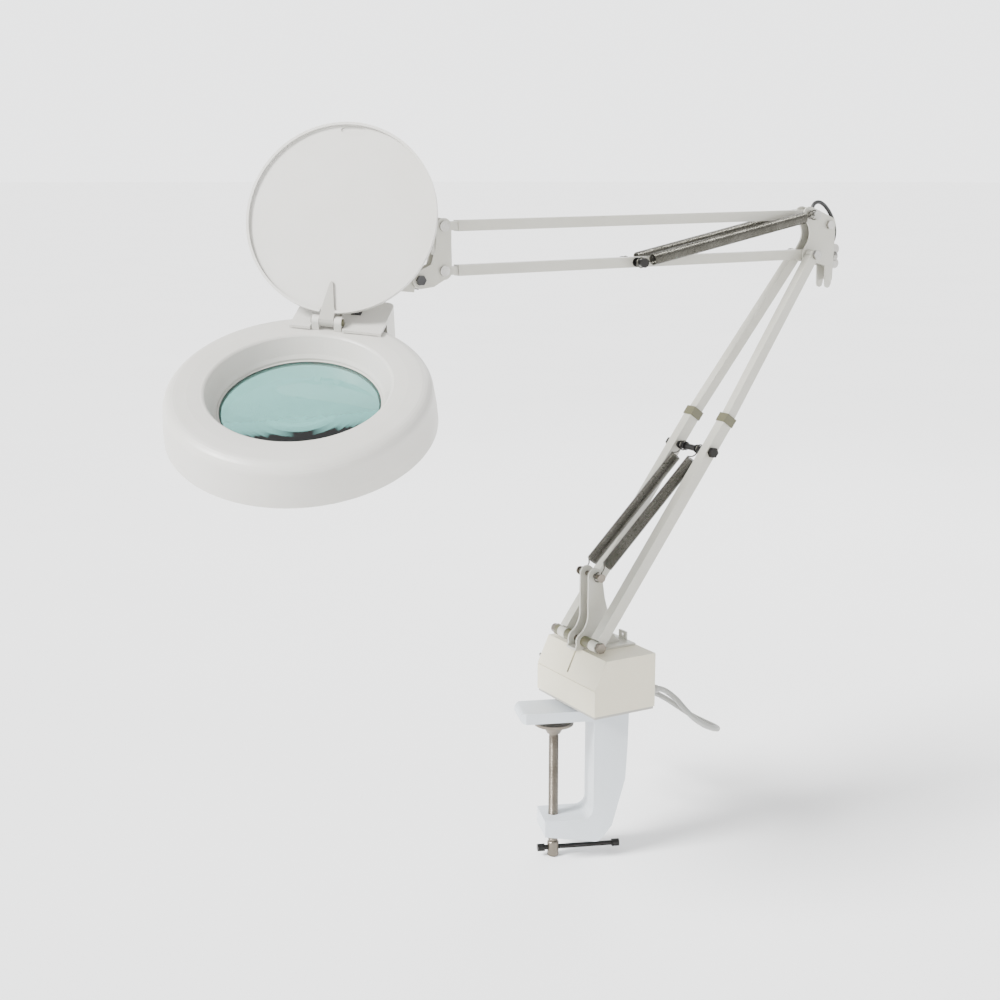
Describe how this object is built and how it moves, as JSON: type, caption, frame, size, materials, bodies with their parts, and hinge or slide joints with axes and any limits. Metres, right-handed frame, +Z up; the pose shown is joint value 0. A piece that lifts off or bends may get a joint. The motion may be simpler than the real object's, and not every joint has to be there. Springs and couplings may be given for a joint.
{
  "type": "magnifying lamp",
  "caption": "Bench magnifying lamp: ring-lit lens head with hinged cover, sprung two-part arm, base box on a swivel and screw clamp for a table edge.",
  "frame": {"origin": "on the underside of the clamp's upper jaw, on the clamp screw's axis: the point where the lamp sits on a tabletop", "axes": "+Z up, out of the tabletop; the arm moves in planes parallel to XZ, with the head towards -X and the elbow towards +X; the clamp's jaws are turned 20 degrees from -X towards +Y"},
  "size_m": [0.7123, 0.3521, 0.6963],
  "materials": {
    "cast_clamp": "satin, faintly blue white paint on a casting",
    "arm_enamel": "glossy warm white enamel on tube and sheet",
    "box_plastic": "ivory moulded plastic with a fine grain",
    "plate_steel": "grey painted sheet steel",
    "screw_steel": "zinc-plated turned steel",
    "bright_steel": "nickel-plated pins and springs",
    "black_steel": "blackened steel",
    "spring_steel": "dark oiled spring wire",
    "spacer_olive": "dark olive nylon",
    "core_iron": "laminated core",
    "winding": "varnished copper winding under tape",
    "block_nylon": "natural nylon",
    "cord_pvc": "light grey PVC",
    "black_rubber": "matt black",
    "black_plastic": "satin black",
    "head_plastic": "white moulded plastic",
    "inner_white": "reflecting white",
    "lens_glass": "clear with a green edge",
    "tube_glass": "phosphor-coated glass tube, opaque white"
  },
  "bodies": {
    "clamp": {"clamp_frame": "cast_clamp", "cord_coil": "cord_pvc", "cord_tie": "black_plastic", "plug_body": "cord_pvc", "plug_pins": "bright_steel"},
    "pad": {"swivel_pad": "screw_steel"},
    "screw": {"clamp_screw": "screw_steel", "tommy_bar": "black_steel", "tommy_caps": "black_steel"},
    "base": {"swivel_post": "screw_steel", "base_plate": "plate_steel", "base_cover": "box_plastic", "base_screws": "screw_steel", "ballast_core": "core_iron", "ballast_winding": "winding", "terminal_block": "block_nylon", "strain_relief": "cord_pvc", "arm_bracket": "arm_enamel", "base_pin": "screw_steel", "base_spacers": "spacer_olive", "spring_anchor": "screw_steel", "lower_spring_far": "spring_steel", "lower_spring_near": "spring_steel", "mains_cord": "cord_pvc"},
    "lower_arm": {"lower_bar_far": "arm_enamel", "lower_bar_near": "arm_enamel", "upper_rod_far": "arm_enamel", "upper_rod_near": "arm_enamel", "bar_collars": "spacer_olive", "crossbar": "black_steel"},
    "elbow": {"elbow_bracket": "arm_enamel", "elbow_pins": "bright_steel", "elbow_cable": "black_rubber", "upper_spring_far": "spring_steel", "upper_spring_near": "spring_steel"},
    "elbow_screw": {"elbow_knob": "bright_steel"},
    "bottom_bar": {"bottom_bar": "arm_enamel", "bar_ends": "arm_enamel", "cross_pin": "black_steel"},
    "top_bar": {"top_bar": "arm_enamel"},
    "link": {"link_bracket": "arm_enamel", "link_pins": "bright_steel"},
    "head_arm": {"head_arm": "arm_enamel"},
    "tilt_screw": {"tilt_knob": "black_plastic"},
    "neck": {"swivel_knuckle": "bright_steel"},
    "head": {"head_shell": "head_plastic", "neck_housing": "head_plastic", "neck_pin": "bright_steel", "head_screws": "screw_steel", "reflector": "inner_white", "lens": "lens_glass", "lens_ring": "head_plastic", "ring_tube": "tube_glass", "tube_clips": "bright_steel", "tube_socket": "block_nylon", "hinge_block": "head_plastic", "hinge_pin": "spacer_olive"},
    "switch": {"switch_rocker": "black_plastic"},
    "cover": {"lens_cover": "head_plastic", "hinge_leaf": "plate_steel"}
  },
  "joints": [
    {"name": "pad_travel", "type": "slide", "parent": "clamp", "child": "pad", "axis": [0, 0, 1], "range_m": [-0.07, 0.003]},
    {"name": "screw_turn", "type": "hinge", "parent": "pad", "child": "screw", "pos_m": [0, 0, -0.05], "axis": [0, 0, 1], "range_deg": [-16800, 720]},
    {"name": "base_swivel", "type": "hinge", "parent": "clamp", "child": "base", "pos_m": [0.04698, -0.0171, 0.0164], "axis": [0, 0, 1], "range_deg": [-120, 90], "deforming": ["mains_cord"]},
    {"name": "lower_tilt", "type": "hinge", "parent": "base", "child": "lower_arm", "pos_m": [0.01799, -0.0171, 0.079], "axis": [0, 1, 0], "range_deg": [-50, 30], "deforming": ["lower_spring_far", "lower_spring_near"]},
    {"name": "elbow_tilt", "type": "hinge", "parent": "lower_arm", "child": "elbow", "pos_m": [0.27361, -0.0171, 0.43344], "axis": [0, 1, 0], "range_deg": [-35, 35]},
    {"name": "elbow_screw_turn", "type": "hinge", "parent": "elbow", "child": "elbow_screw", "pos_m": [0.30661, -0.0171, 0.43044], "axis": [1, 0, 0], "continuous": true},
    {"name": "upper_tilt", "type": "hinge", "parent": "elbow", "child": "bottom_bar", "pos_m": [0.27361, -0.0171, 0.43344], "axis": [0, 1, 0], "range_deg": [-35, 40], "deforming": ["upper_spring_far", "upper_spring_near"]},
    {"name": "top_bar_tilt", "type": "hinge", "parent": "elbow", "child": "top_bar", "pos_m": [0.27361, -0.0171, 0.47143], "axis": [0, 1, 0], "range_deg": [-35, 40]},
    {"name": "link_tilt", "type": "hinge", "parent": "bottom_bar", "child": "link", "pos_m": [-0.12737, -0.0171, 0.42994], "axis": [0, 1, 0], "range_deg": [-40, 35]},
    {"name": "head_arm_tilt", "type": "hinge", "parent": "link", "child": "head_arm", "pos_m": [-0.15037, -0.0171, 0.42294], "axis": [0, 1, 0], "range_deg": [-20, 30]},
    {"name": "tilt_screw_turn", "type": "hinge", "parent": "link", "child": "tilt_screw", "pos_m": [-0.15037, -0.0171, 0.42294], "axis": [0, 1, 0], "continuous": true},
    {"name": "head_swivel", "type": "hinge", "parent": "head_arm", "child": "neck", "pos_m": [-0.22501, -0.0171, 0.391], "axis": [0.1045, 0, 0.9945], "range_deg": [-120, 10]},
    {"name": "head_tilt", "type": "hinge", "parent": "neck", "child": "head", "pos_m": [-0.22501, -0.0171, 0.391], "axis": [-0.7618, 0.6428, 0.0801], "range_deg": [-25, 14]},
    {"name": "switch_rock", "type": "hinge", "parent": "head", "child": "switch", "pos_m": [-0.21534, -0.03511, 0.4003], "axis": [-0.7618, 0.6428, 0.0801], "range_deg": [-16, 0]},
    {"name": "cover_hinge", "type": "hinge", "parent": "head", "child": "cover", "pos_m": [-0.24527, -0.04152, 0.39436], "axis": [-0.7618, 0.6428, 0.0801], "range_deg": [-134, 2]}
  ],
  "couplings": [
    {"joint": "screw_turn", "follows": "pad_travel", "rad_per_m": 4188.8},
    {"joint": "top_bar_tilt", "follows": "upper_tilt", "ratio": 1},
    {"joint": "link_tilt", "follows": "upper_tilt", "ratio": -1}
  ]
}
